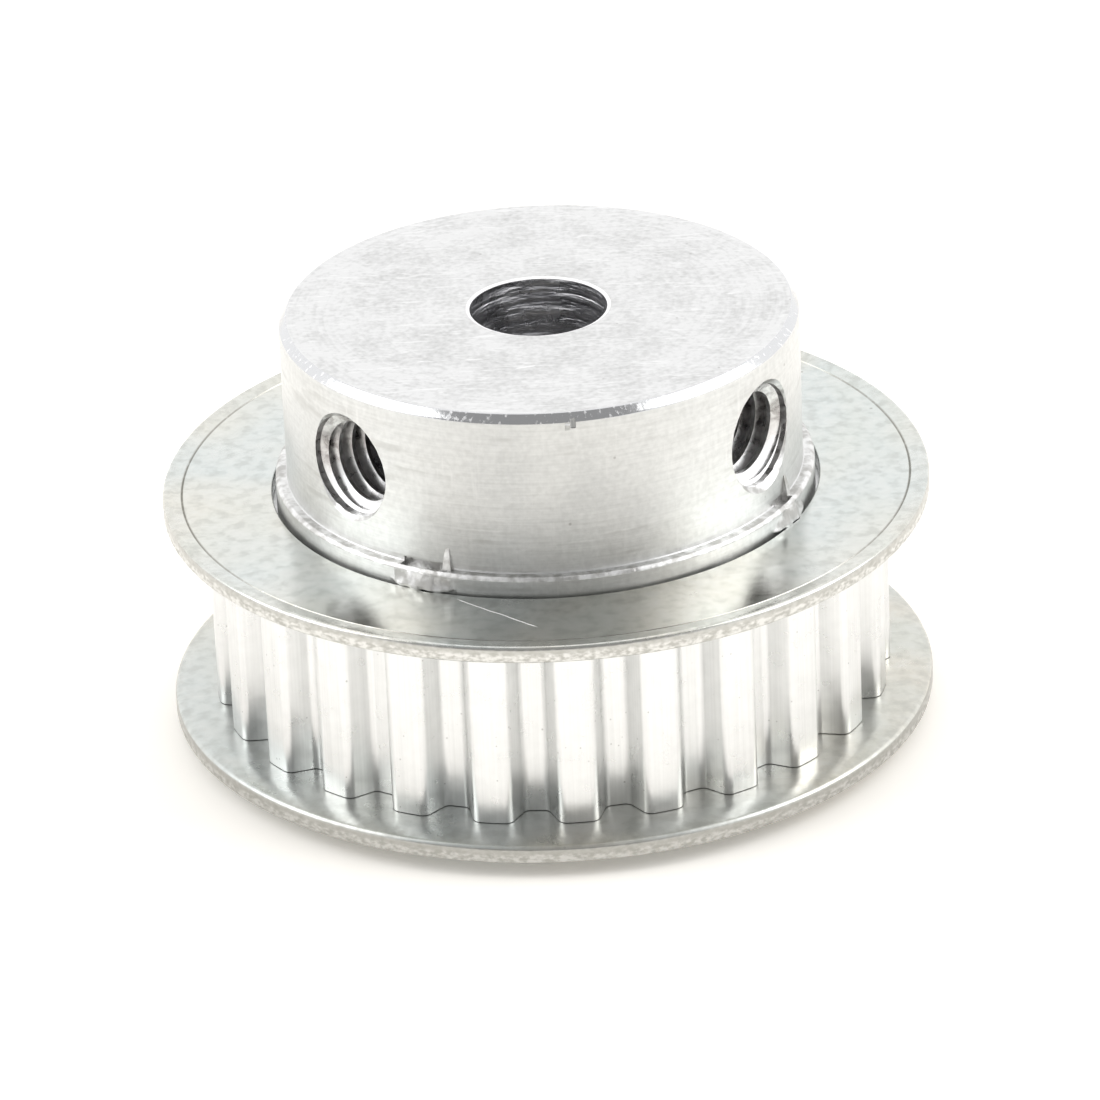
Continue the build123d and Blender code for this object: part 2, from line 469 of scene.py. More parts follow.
dent = stake_arc("dent", beside(R_HUB, TOP, DENT_OUTLINE), {}, DENT_WIDTH, NICK_STEPS)
roughened(dent, amount=0.05 * MM, size=0.25 * MM, seed=3)
combine(body, placed(dent, around(NICK_ANGLE)), "DIFFERENCE")
burr = stake_arc("burr", beside(R_HUB, TOP, BURR_OUTLINE), {}, BURR_WIDTH, NICK_STEPS)
roughened(burr, amount=0.04 * MM, size=0.2 * MM, seed=4)
combine(body, placed(burr, around(BURR_ANGLE)), "UNION")
print("body with its dent:", measured(body))

# %% [markdown]
# ## Tapped holes
# Two M6 x 1 holes run from the hub's wall to the bore. A drill makes the small diameter, the mouth is cleared
# to the thread's full diameter with a torn edge, and the tap cuts a spiral groove. A spin with a step along
# its axis is exactly that spiral: a small wedge-shaped face carried round and along makes the groove's
# cutter. The real thread is modelled, because its bright crests are the first thing seen inside the holes.

# %% Cut the tapped holes
THREAD_RADIUS = 3.0 * MM
THREAD_MINOR = 2.46 * MM
THREAD_PITCH = 1.0 * MM
THREAD_SLOPE = math.tan(math.radians(30))
HOLE_HEIGHT = 20.35 * MM
HOLES = ((-48.5, 0.34 * MM), (56.5, 0.5 * MM))
THREAD_STEPS = 72
CLEARED = 0.66 * MM
LEAD_IN = 0.28 * MM
MOUTH_START = (0.03 * MM, 0.7)
MOUTH_CURVE = ((0.6, 0.25), (0.8, 0.0))
MOUTH_FLARE = 0.3 * MM
CUT_PAST = 1.0 * MM
TEAR = 0.1
TEAR_SIZE = 0.4 * MM
GROOVE_FLAT = 0.12 * MM
GROOVE_OVERLAP = 0.12 * MM
SPIRAL_START = 2.4 * MM
GROOVE_TURNS = 13


def spiral(name, inner_radius, outer_radius, flat, low, turns):
    """A wedge-shaped ridge wound about Z, narrowest at its outer radius."""
    half_outer = flat / 2
    half_inner = half_outer + (outer_radius - inner_radius) * THREAD_SLOPE
    bm = bmesh.new()
    section = [(inner_radius, -half_inner), (outer_radius, -half_outer),
               (outer_radius, half_outer), (inner_radius, half_inner)]
    face = bm.faces.new([bm.verts.new((r, 0, low + z)) for r, z in section])
    spin(bm, [face], FULL_TURN * turns, round(THREAD_STEPS * turns),
         dvec=(0, 0, THREAD_PITCH / THREAD_STEPS), use_merge=False)
    return finished(bm, name)


def radial(angle):
    """Carries a shape made along +Z out along a hole, from the axis, at the holes' height."""
    return around(angle) @ Matrix.Translation((0, 0, HOLE_HEIGHT)) @ Matrix.Rotation(math.pi / 2, 4, "X")


for angle, mouth in HOLES:
    drill = turned("drill", [
        (0, R_BORE / 2),
        (THREAD_MINOR, R_BORE / 2),
        (THREAD_MINOR, R_HUB - CLEARED - LEAD_IN),
        (THREAD_RADIUS, R_HUB - CLEARED),
        (THREAD_RADIUS + MOUTH_START[0], R_HUB - MOUTH_START[1] * mouth),
        *((THREAD_RADIUS + out * mouth, R_HUB - depth * mouth) for out, depth in MOUTH_CURVE),
        (THREAD_RADIUS + mouth + MOUTH_FLARE, R_HUB + CUT_PAST),
        (0, R_HUB + CUT_PAST)], steps=THREAD_STEPS)
    for v in drill.data.vertices:
        if v.co.z > R_HUB - mouth and v.co.xy.length > THREAD_RADIUS:
            v.co += TEAR * mouth * noise.noise_vector(v.co / TEAR_SIZE)
    combine(body, placed(drill, radial(angle)), "DIFFERENCE")
print("drilled body:", measured(body))

grooves = [spiral("groove", THREAD_MINOR - GROOVE_OVERLAP, THREAD_RADIUS, GROOVE_FLAT, SPIRAL_START,
                  GROOVE_TURNS) for _ in HOLES]
for groove, (angle, _) in zip(grooves, HOLES):
    placed(groove, radial(angle))
taps = combine(*grooves, "UNION")
print("tap cutter:", measured(taps))
combine(body, taps, "DIFFERENCE")
print("tapped body:", measured(body))

# %% [markdown]
# ## Flanges
# A flange is a blanked disc. The press bends its rim a few degrees away from the belt, so that the belt
# is led in, and leaves a crisp crease at the bend on the hollow side, darkened with painted shade. One
# outline
# serves both: the back flange is the same disc turned over.

# %% Spin the flanges
BEND_RADIUS = 21.32 * MM
RIM_RISE = (nose_high - nose_low) - FLANGE_THICK
RIM_SLOPE = RIM_RISE / (R_FLANGE - BEND_RADIUS)
CREASE = 0.06 * MM
FLANGE_ROUNDING = {0: 0.08 * MM, 1: 0.3 * MM, 7: 0.1 * MM}


def flange(name, turn_over, rim_rounding):
    """A ring with a bent rim. The punched edge is rounded more on one face than on the other."""
    points = [
        (R_FLANGE_HOLE, DRUM_HIGH),
        (BEND_RADIUS, DRUM_HIGH),
        (R_FLANGE, DRUM_HIGH + RIM_RISE),
        (R_FLANGE, DRUM_HIGH + RIM_RISE + FLANGE_THICK),
        (BEND_RADIUS + CREASE, DRUM_HIGH + FLANGE_THICK + CREASE * RIM_SLOPE),
        (BEND_RADIUS, DRUM_HIGH + FLANGE_THICK - CREASE),
        (BEND_RADIUS - CREASE, DRUM_HIGH + FLANGE_THICK),
        (R_FLANGE_HOLE, DRUM_HIGH + FLANGE_THICK),
    ]
    piece = turned(name, points, {**FLANGE_ROUNDING, 2: rim_rounding[0], 3: rim_rounding[1]})
    if turn_over:
        placed(piece, flipped)
        piece.data.flip_normals()
    return piece


nose_flange = flange("hub_side_flange_disc", False, (0.1 * MM, 0.3 * MM))
back_flange = flange("back_flange_disc", True, (0.26 * MM, 0.1 * MM))
print("flanges:", measured(nose_flange), "and", measured(back_flange))

# %% [markdown]
# ## Set screws
# Each hole holds an M6 set screw, 6 mm long. It sits deep, with its cup point just clear of the bore, waiting
# for a shaft. The screw is a plain core with a spiral ridge that fits the hole's groove. An envelope shaped
# like a real screw's blank then trims it, chamfer above and point below, and a key socket is cut out.

# %% Make the set screws
SCREW_LENGTH = 6.0 * MM
SCREW_START = R_BORE + 0.2 * MM
SCREW_OUTER = THREAD_RADIUS - 0.05 * MM
SCREW_CORE = THREAD_MINOR - 0.05 * MM
SOCKET_WIDTH = 3.0 * MM
SOCKET_DEPTH = 3.2 * MM
CUP_DEPTH = 0.5 * MM
CUP_RIM = (1.2 * MM, 1.7 * MM)
POINT_LENGTH = 1.25 * MM
END_CHAMFER = 0.6 * MM
BLANK_CLEARANCE = 0.03 * MM
BLANK_ROUNDING = {2: 0.08 * MM, 5: 0.06 * MM}
RIDGE_FLAT = 0.09 * MM
RIDGE_OVERLAP = 0.1 * MM
RIDGE_TURNS = 10
SOCKET_LEAD_IN = ((-0.5, -0.4), (0.15, 0.1))


def set_screw(name):
    """A cup-point screw along +Z, with its point just clear of the bore's wall."""
    low, high = SCREW_START, SCREW_START + SCREW_LENGTH
    core = [(0, low - MM), (SCREW_CORE, low - MM), (SCREW_CORE, high + MM), (0, high + MM)]
    screw = turned(name, core, steps=THREAD_STEPS)
    ridge = spiral("ridge", SCREW_CORE - RIDGE_OVERLAP, SCREW_OUTER, RIDGE_FLAT, SPIRAL_START, RIDGE_TURNS)
    combine(screw, ridge, "UNION")
    blank_radius = SCREW_OUTER + BLANK_CLEARANCE
    blank = [
        (0, low + CUP_DEPTH),
        (CUP_RIM[0], low),
        (CUP_RIM[1], low),
        (blank_radius, low + POINT_LENGTH),
        (blank_radius, high - END_CHAMFER),
        (blank_radius - END_CHAMFER, high),
        (0, high),
    ]
    combine(screw, turned("blank", blank, BLANK_ROUNDING, steps=THREAD_STEPS), "INTERSECT")
    corners = SOCKET_WIDTH / math.cos(math.radians(30)) / 2
    bm = bmesh.new()
    bmesh.ops.create_cone(bm, cap_ends=True, segments=6, radius1=corners, radius2=corners,
                          depth=2 * SOCKET_DEPTH)
    bmesh.ops.translate(bm, verts=bm.verts[:], vec=(0, 0, high))
    combine(screw, finished(bm, "socket"), "DIFFERENCE")
    funnel = [(0, high - END_CHAMFER), *beside(corners, high, SOCKET_LEAD_IN)]
    funnel.append((0, funnel[-1][1]))
    lead_in = turned("lead_in", funnel, steps=THREAD_STEPS)
    return combine(screw, lead_in, "DIFFERENCE")


screws = []
for number, (angle, _) in enumerate(HOLES, start=1):
    screw = placed(set_screw(f"set_screw_{number}_threaded"), radial(angle))
    screws.append(screw)
    print(screw.name, measured(screw))

# %% [markdown]
# ## Camera, floor and light
# A long lens looks down at the pulley at 26 degrees with a slight roll. The room is a light tent: a pale
# floor, a bright surround, and a darker patch above the lens, which is what gives polished metal its
# grey reflections. Without something dark to reflect, bright metal on a white floor has no form.

# %% Camera
LENS = 231.1
SENSOR = 36.0
ELEVATION = math.radians(26.21)
ROLL = math.radians(2.47)
DISTANCE = 415.7 * MM
AIM = Vector((0.07 * MM, 0, 9.62 * MM))

lens = bpy.data.cameras.new("product_camera")
lens.lens = LENS
lens.sensor_width = SENSOR
lens.clip_start = 0.01
lens.clip_end = 20
camera = bpy.data.objects.new("product_camera", lens)
bpy.context.scene.collection.objects.link(camera)
back = Vector((0, -math.cos(ELEVATION), math.sin(ELEVATION)))
turn = Matrix.Rotation(math.pi / 2 - ELEVATION, 4, "X") @ Matrix.Rotation(-ROLL, 4, "Z")
camera.matrix_world = Matrix.Translation(AIM + DISTANCE * back) @ turn
bpy.context.scene.camera = camera
print("camera at", [round(c, 4) for c in camera.location])

# %% [markdown]
# The surround is a world shader. Its strength is even, but for a round patch in front of and above the
# pulley, where a real tent has its opening for the lens and no lamp. The patch's middle and width are
# directions, so a dot product finds how near a ray is to it, and the edge is soft. A soft box on each side
# brightens the walls that face it.

# %% Surround and lamps
TENT_STRENGTH = 1.25
OPENING_STRENGTH = 0.42
OPENING_MIDDLE = Vector((-0.04, -0.72, 0.69)).normalized()
OPENING_HALF_ANGLE = math.radians(43)
OPENING_EDGE = math.radians(5)
BOX_ELEVATION = math.radians(40)
BOX_DISTANCE = 0.9
BOX_SIZE = 0.62

bpy.context.scene.view_settings.view_transform = "Standard"
world = bpy.data.worlds.new("light_tent")
bpy.context.scene.world = world
world.use_nodes = True
sky = world.node_tree
direction = sky.nodes.new("ShaderNodeTexCoord").outputs["Generated"]
nearness = sky.nodes.new("ShaderNodeVectorMath")
nearness.operation = "DOT_PRODUCT"
nearness.inputs[1].default_value = OPENING_MIDDLE
strength = sky.nodes.new("ShaderNodeMapRange")
strength.interpolation_type = "SMOOTHSTEP"
strength.inputs["From Min"].default_value = math.cos(OPENING_HALF_ANGLE + OPENING_EDGE)
strength.inputs["From Max"].default_value = math.cos(OPENING_HALF_ANGLE - OPENING_EDGE)
strength.inputs["To Min"].default_value = TENT_STRENGTH
strength.inputs["To Max"].default_value = OPENING_STRENGTH
sky.links.new(direction, nearness.inputs[0])
sky.links.new(nearness.outputs["Value"], strength.inputs["Value"])
sky.links.new(strength.outputs["Result"], sky.nodes["Background"].inputs["Strength"])
sky.nodes["Background"].inputs["Color"].default_value = (1.0, 1.0, 1.0, 1.0)


def soft_box(name, azimuth, watts):
    """A square area lamp that faces the pulley from one side. 0 degrees is the front, 90 the right."""
    lamp = bpy.data.lights.new(name, "AREA")
    lamp.shape = "SQUARE"
    lamp.size = BOX_SIZE
    lamp.energy = watts
    turn, level = math.radians(azimuth), math.cos(BOX_ELEVATION)
    away = Vector((math.sin(turn) * level, -math.cos(turn) * level, math.sin(BOX_ELEVATION)))
    holder = bpy.data.objects.new(name, lamp)
    bpy.context.scene.collection.objects.link(holder)
    facing = away.to_track_quat("Z", "Y").to_matrix().to_4x4()
    holder.matrix_world = Matrix.Translation(away * BOX_DISTANCE) @ facing


soft_box("left_soft_box", -88, 2.3)
soft_box("right_soft_box", 88, 2.7)
print("lamps:", [light.name for light in bpy.data.lights])

# %% [markdown]
# ## Metal finishes
# Every surface here is bare or plated metal. What tells them apart is the path that a tool took over them.
# So each finish starts from where a point lies in the tool's own coordinates: round the axis and outwards
# for a faced end, round the axis and up for a turned wall, straight up for a milled tooth. Noise stretched
# along that path gives lines of the right length and spacing. It feeds the colour, the roughness and a bump.

# %% A helper for finishes
class Finish:
    """A material for one finish, with short calls for the nodes that feed its shader."""

    def __init__(self, name, metallic=1.0):
        self.material = bpy.data.materials.new(name)
        self.material.use_nodes = True
        self.tree = self.material.node_tree
        self.shader = self.tree.nodes["Principled BSDF"]
        self.shader.inputs["Metallic"].default_value = metallic
        self.place = self.tree.nodes.new("ShaderNodeTexCoord").outputs["Object"]

    def feed(self, socket, value):
        """Links a socket to another node's output, or sets its value."""
        if isinstance(value, bpy.types.NodeSocket):
            self.tree.links.new(value, socket)
        else:
            socket.default_value = value

    def node(self, kind, inputs, output=0, **settings):
        """A new node's output, with its settings, and its inputs given in order or by name."""
        made = self.tree.nodes.new("ShaderNode" + kind)
        for setting, value in settings.items():
            setattr(made, setting, value)
        for key, value in (inputs.items() if isinstance(inputs, dict) else enumerate(inputs)):
            self.feed(made.inputs[key], value)
        return made.outputs[output]

    def math(self, operation, a, b=0.0):
        return self.node("Math", [a, b], operation=operation)

    def plus(self, a, b):
        return self.math("ADD", a, b)

    def times(self, a, b):
        return self.math("MULTIPLY", a, b)

    def level(self, value, low, high, to_low=0.0, to_high=1.0):
        """Carries a value's range, low to high, onto another range."""
        return self.node("MapRange", [value, low, high, to_low, to_high])

    def stretched(self, x, y, z):
        """Object coordinates, multiplied along each axis."""
        return self.node("VectorMath", [self.place, (x, y, z)], operation="MULTIPLY")

    def slanted(self, angle, along, across):
        """Object coordinates, turned about Z in degrees and multiplied along and across that direction."""
        return self.node("Mapping", {"Vector": self.place, "Rotation": (0, 0, math.radians(angle)),
                                     "Scale": (along, across, along)}, vector_type="POINT")

    def from_axis(self):
        """How far a point is from the axis."""
        return self.node("VectorMath", [self.stretched(1, 1, 0)], output=1, operation="LENGTH")

    def height(self):
        return self.node("SeparateXYZ", [self.place], output=2)

    def round_axis(self, turns, per_metre, outwards):
        """Coordinates that follow a lathe: slow round the axis, fast outwards or up."""
        heading = self.node("VectorMath", [self.stretched(1, 1, 0)], operation="NORMALIZE")
        scaled = self.node("VectorMath", [heading, (turns, turns, 0.0)], operation="MULTIPLY")
        step = self.from_axis() if outwards else self.height()
        lifted = self.node("CombineXYZ", [0.0, 0.0, self.times(step, per_metre)])
        return self.node("VectorMath", [scaled, lifted], operation="ADD")

    def cloud(self, where, per_metre=1.0, detail=2.0, distortion=0.0):
        """Soft noise between 0 and 1, mostly near a half."""
        return self.node("TexNoise", {"Vector": where, "Scale": per_metre, "Detail": detail,
                                      "Distortion": distortion})

    def specks(self, per_metre, radius, share):
        """Small round spots: 1 inside, on a share of the cells."""
        cells = self.tree.nodes.new("ShaderNodeTexVoronoi")
        self.feed(cells.inputs["Vector"], self.place)
        self.feed(cells.inputs["Scale"], per_metre)
        near = self.level(cells.outputs["Distance"], radius, radius * 0.5)
        pick = self.node("SeparateColor", [cells.outputs["Color"]])
        return self.times(near, self.math("LESS_THAN", pick, share))

    def mixed(self, share, colour, other):
        """Colour where the share is 0, the other where it is 1."""
        ends = [(*end, 1.0) if isinstance(end, tuple) else end for end in (colour, other)]
        return self.node("Mix", {0: share, 6: ends[0], 7: ends[1]}, output=2, data_type="RGBA")

    def brushed(self, amount, rotation=0.0):
        """Reflections drawn out by fine lines. Without a rotation they lie round the axis."""
        self.shader.inputs["Anisotropic"].default_value = amount
        self.shader.inputs["Anisotropic Rotation"].default_value = rotation
        tangent = self.node("Tangent", [], direction_type="RADIAL", axis="Z")
        self.feed(self.shader.inputs["Tangent"], tangent)

    def done(self, colour, roughness, height, depth):
        """Feeds the shader. Depth is how far the bump reaches, in metres."""
        self.feed(self.shader.inputs["Base Color"], colour)
        self.feed(self.shader.inputs["Roughness"], roughness)
        bump = self.node("Bump", {"Strength": 1.0, "Distance": depth, "Height": height})
        self.feed(self.shader.inputs["Normal"], bump)
        return self.material


# %% [markdown]
# ## Bare aluminium
# The faced ends have fine rings, clearest near the rim, cloudy handling marks, and scuffs where the part lay
# on other parts. The turned walls have finer lines that run round, and faint upright scratches.

# %% Faced and turned aluminium
BRIGHT = (0.72, 0.72, 0.72)
DULL = (0.50, 0.50, 0.495)
PALE = (0.73, 0.735, 0.725)
GREY = (0.56, 0.565, 0.555)
PIT = (0.30, 0.29, 0.28)


def faced_aluminium():
    """Faced ends: rings round the axis, cloudy marks and short scuffs."""
    finish = Finish("faced_aluminium")
    rings = finish.cloud(finish.round_axis(2.2, 4200, True), detail=3)
    patches = finish.cloud(finish.place, per_metre=420, detail=5)
    worn = finish.cloud(finish.slanted(28, 420, 3400), detail=3, distortion=1.2)
    crossed = finish.cloud(finish.slanted(-52, 520, 3800), detail=3, distortion=1.2)
    scuffs = finish.plus(finish.level(worn, 0.60, 0.68), finish.level(crossed, 0.61, 0.69))
    pits = finish.specks(900, 0.10, 0.16)
    outer = finish.level(finish.from_axis(), R_HUB - 6 * MM, R_HUB, 0.2, 0.5)
    ringed = finish.times(finish.level(rings, 0.3, 0.7), outer)
    grit = finish.cloud(finish.place, per_metre=2600, detail=4)
    mottled = finish.plus(finish.level(patches, 0.32, 0.68, 0.0, 0.6),
                          finish.level(grit, 0.34, 0.66, 0.0, 0.6))
    colour = finish.mixed(finish.plus(ringed, mottled), DULL, BRIGHT)
    colour = finish.mixed(finish.times(scuffs, 0.6), colour, (0.82, 0.82, 0.82))
    colour = finish.mixed(finish.times(pits, 0.5), colour, PIT)
    roughness = finish.level(patches, 0.3, 0.7, 0.28, 0.38)
    height = finish.plus(finish.times(rings, outer), finish.times(grit, 0.5))
    return finish.done(colour, roughness, height, 6e-6)


def turned_aluminium():
    """Turned walls: fine lines round the axis, faint upright scratches and a few pits."""
    finish = Finish("turned_aluminium")
    fine = finish.cloud(finish.round_axis(3.0, 7000, False), detail=3)
    lines = finish.cloud(finish.round_axis(4.0, 1500, False), detail=2)
    upright = finish.cloud(finish.stretched(3200, 3200, 260), detail=3)
    patches = finish.cloud(finish.place, per_metre=300, detail=4)
    grit = finish.cloud(finish.place, per_metre=3000, detail=4)
    pits = finish.specks(800, 0.09, 0.14)
    cloudy = finish.plus(finish.level(grit, 0.35, 0.65, 0.0, 0.4), finish.level(patches, 0.3, 0.7, 0.0, 0.3))
    tone = finish.plus(finish.level(fine, 0.3, 0.7, 0.0, 0.35), cloudy)
    colour = finish.mixed(tone, GREY, PALE)
    colour = finish.mixed(finish.level(lines, 0.60, 0.72, 0.0, 0.45), colour, (0.46, 0.46, 0.44))
    colour = finish.mixed(finish.level(upright, 0.62, 0.75, 0.0, 0.4), colour, (0.76, 0.76, 0.75))
    colour = finish.mixed(finish.times(pits, 0.6), colour, PIT)
    roughness = finish.level(patches, 0.3, 0.7, 0.30, 0.42)
    finish.brushed(0.75, rotation=0.25)
    height = finish.plus(finish.plus(fine, lines), finish.times(upright, 0.4))
    return finish.done(colour, roughness, height, 9e-6)


def chamfered_aluminium():
    """The nose's chamfer and the bore's edge: a bright cut, nicked across, brightest at the bore."""
    finish = Finish("chamfered_aluminium")
    nicks = finish.cloud(finish.stretched(3600, 3600, 350), detail=4)
    fine = finish.cloud(finish.round_axis(3.0, 9000, False), detail=2)
    marks = finish.level(nicks, 0.60, 0.72)
    colour = finish.mixed(marks, (0.645, 0.65, 0.66), (0.84, 0.84, 0.84))
    at_bore = finish.level(finish.from_axis(), R_BORE + 2 * MM, R_BORE + MM)
    colour = finish.mixed(at_bore, colour, (0.93, 0.93, 0.93))
    roughness = finish.level(nicks, 0.55, 0.70, 0.13, 0.5)
    height = finish.plus(finish.times(fine, 0.4), nicks)
    return finish.done(colour, roughness, height, 6e-6)


# %% [markdown]
# The teeth are milled with a long cutter, so their lines run straight up. The bore is drilled and keeps
# coarse rings. The holes are tapped, with bright crests, and their flanks carry painted shade above and
# painted light below. The stakes are lumpy, uneven metal.

# %% Milled, bored, tapped and staked aluminium
def milled_aluminium():
    """Tooth flanks and lands: straight lines along the axis, small dark pits and dull patches."""
    finish = Finish("milled_aluminium")
    lines = finish.cloud(finish.stretched(6500, 6500, 90), detail=3)
    patches = finish.cloud(finish.place, per_metre=900, detail=5)
    pits = finish.math("MAXIMUM", finish.specks(1100, 0.09, 0.14), finish.specks(2300, 0.14, 0.12))
    tone = finish.plus(finish.level(lines, 0.3, 0.7, 0.0, 0.55), finish.level(patches, 0.3, 0.7, 0.0, 0.55))
    colour = finish.mixed(tone, (0.73, 0.735, 0.73), (0.85, 0.855, 0.85))
    colour = finish.mixed(finish.times(pits, 0.55), colour, PIT)
    roughness = finish.level(patches, 0.3, 0.7, 0.26, 0.36)
    finish.brushed(0.55)
    height = finish.plus(lines, finish.times(patches, 0.3))
    return finish.done(colour, roughness, height, 4e-6)


def bored_aluminium():
    """The bore's wall: coarse rings from the drill."""
    finish = Finish("bored_aluminium")
    rings = finish.cloud(finish.round_axis(1.5, 1900, False), detail=4)
    patches = finish.cloud(finish.place, per_metre=600, detail=4)
    colour = finish.mixed(finish.level(rings, 0.35, 0.65), (0.60, 0.60, 0.62), (0.90, 0.90, 0.91))
    roughness = finish.level(patches, 0.3, 0.7, 0.18, 0.36)
    return finish.done(colour, roughness, rings, 2e-4)


def tapped_aluminium():
    """Thread flanks: torn a little by the tap, with painted shade above and painted light below."""
    finish = Finish("tapped_aluminium")
    torn = finish.cloud(finish.place, per_metre=1600, detail=4, distortion=0.5)
    patches = finish.cloud(finish.place, per_metre=500, detail=3)
    uneven = finish.plus(finish.height(), finish.level(patches, 0.3, 0.7, -0.7 * MM, 0.7 * MM))
    # Painted light: flanks below the holes' axis are painted bright. The rest are darkened as painted shade,
    # with torn patches.
    lit_below = finish.level(uneven, HOLE_HEIGHT - 0.4 * MM, HOLE_HEIGHT - 1.8 * MM)
    shaded_torn = finish.mixed(finish.level(torn, 0.40, 0.65), (0.33, 0.315, 0.31), (0.74, 0.73, 0.72))
    colour = finish.mixed(lit_below, shaded_torn, (0.92, 0.92, 0.92))
    roughness = finish.level(torn, 0.3, 0.7, 0.2, 0.42)
    return finish.done(colour, roughness, torn, 1.6e-5)


def staked_aluminium():
    """Metal pushed over by the punch or torn by the tap, and the thread's crests: uneven and lumpy."""
    finish = Finish("staked_aluminium")
    lumps = finish.cloud(finish.place, per_metre=2200, detail=5, distortion=0.8)
    patches = finish.cloud(finish.place, per_metre=1500, detail=4)
    colour = finish.mixed(finish.level(patches, 0.40, 0.62), (0.48, 0.475, 0.46), (0.78, 0.78, 0.775))
    roughness = finish.level(lumps, 0.3, 0.7, 0.30, 0.5)
    return finish.done(colour, roughness, lumps, 3e-5)


# %% [markdown]
# ## Zinc-plated steel
# The flanges are bright zinc with a thin passivation film. The film's thickness drifts over the disc, so the
# grey leans to blue in one place and to straw in another. The punched rim is duller: the shear leaves a
# smooth band over a torn one. The back flange's plate and rim are darker copies, which is painted shade,
# and its plate is also a little rougher.

# %% Zinc plate and sheared rim
SCRATCH_FROM = Vector((-5.42, -15.53, 0)) * MM
SCRATCH_TO = Vector((-0.68, -19.75, 0)) * MM


def long_scratch(finish, wander):
    """One fine scratch across the hub-side flange: 1 along a thin line, 0 elsewhere."""
    span = SCRATCH_TO - SCRATCH_FROM
    along_it = span.normalized()
    across_it = Vector((-along_it.y, along_it.x, 0))
    offset = finish.node("VectorMath", [finish.place, SCRATCH_FROM], operation="SUBTRACT")
    along = finish.node("VectorMath", [offset, along_it], output=1, operation="DOT_PRODUCT")
    across = finish.node("VectorMath", [offset, across_it], output=1, operation="DOT_PRODUCT")
    drifted = finish.plus(across, finish.level(wander, 0.3, 0.7, -0.12 * MM, 0.12 * MM))
    line = finish.level(finish.math("ABSOLUTE", drifted), 0.03 * MM, 0.055 * MM, 1.0, 0.0)
    begun = finish.level(along, 0.0, 0.5 * MM)
    ended = finish.level(along, span.length, span.length - 0.5 * MM)
    on_top = finish.math("GREATER_THAN", finish.height(), MIDDLE)
    return finish.times(finish.times(line, begun), finish.times(ended, on_top))


def flange_zinc_plate(name, painted_shade_and_dullness):
    """Plated faces: drifting tint, blotches, a faint grain, fine scratches and a line of painted shade at the
    bend.
    """
    finish = Finish(name)
    drift = finish.cloud(finish.place, per_metre=75, detail=2)
    other_drift = finish.cloud(finish.stretched(90, 60, 60), detail=2, distortion=1.0)
    grain = finish.cloud(finish.slanted(15, 500, 2600), detail=4)
    patches = finish.cloud(finish.place, per_metre=260, detail=4)
    scratches = finish.cloud(finish.slanted(-24, 240, 6000), detail=2)
    crossed = finish.cloud(finish.slanted(58, 260, 6000), detail=2)
    dust = finish.specks(520, 0.07, 0.2)
    radius = finish.from_axis()
    from_bend = finish.math("ABSOLUTE", finish.math("SUBTRACT", radius, BEND_RADIUS))
    from_middle = finish.math("ABSOLUTE", finish.math("SUBTRACT", finish.height(), MIDDLE))
    hollow_side = finish.math("GREATER_THAN", from_middle, SEAT_TOP - MIDDLE - 0.4 * FLANGE_THICK)
    # Painted shade: a dark line along the bend's crease on the hollow side.
    crease_shade = finish.times(finish.level(from_bend, 0.04 * MM, 0.1 * MM, 0.7, 0.0), hollow_side)
    blotches = finish.cloud(finish.place, per_metre=1100, detail=5)
    scored = finish.cloud(finish.place, per_metre=2400, detail=4)
    near_rim = finish.level(radius, BEND_RADIUS, R_FLANGE, 0.08, 0.4)
    colour = finish.mixed(finish.level(drift, 0.40, 0.62), (0.57, 0.615, 0.605), (0.67, 0.635, 0.55))
    colour = finish.mixed(finish.level(other_drift, 0.52, 0.70, 0.0, 0.6), colour, (0.575, 0.61, 0.56))
    colour = finish.mixed(finish.level(patches, 0.35, 0.7, 0.0, 0.35), colour, (0.67, 0.675, 0.65))
    marks = finish.plus(finish.level(scratches, 0.70, 0.76), finish.level(crossed, 0.71, 0.77))
    colour = finish.mixed(finish.times(marks, 0.45), colour, (0.80, 0.80, 0.79))
    mottled = finish.times(finish.level(scored, 0.40, 0.62), near_rim)
    colour = finish.mixed(finish.level(blotches, 0.38, 0.64, 0.0, 0.4), colour, (0.74, 0.745, 0.72))
    colour = finish.mixed(finish.level(blotches, 0.50, 0.34, 0.0, 0.4), colour, (0.44, 0.445, 0.42))
    colour = finish.mixed(mottled, colour, (0.46, 0.46, 0.43))
    colour = finish.mixed(finish.times(dust, 0.6), colour, (0.28, 0.27, 0.25))
    # The crease's painted shade is broken up by the grain.
    broken_crease_shade = finish.times(crease_shade, finish.level(grain, 0.2, 0.45))
    colour = finish.mixed(broken_crease_shade, colour, (0.28, 0.27, 0.24))
    scratch = long_scratch(finish, patches)
    colour = finish.mixed(scratch, colour, (0.95, 0.95, 0.94))
    # Painted shade: the back flange's plate is darkened by this share, and the gloss below also makes it
    # rougher.
    colour = finish.mixed(painted_shade_and_dullness, colour, (0.40, 0.40, 0.375))
    gloss = finish.level(patches, 0.3, 0.7, 0.14 + 0.5 * painted_shade_and_dullness, 0.26 + 0.5 * painted_shade_and_dullness)
    roughness = finish.plus(gloss, finish.times(mottled, 0.3))
    roughness = finish.math("MAXIMUM", roughness, finish.times(scratch, 0.7))
    relief = finish.plus(grain, finish.plus(patches, finish.times(scored, 0.8)))
    return finish.done(colour, roughness, relief, 5e-6)


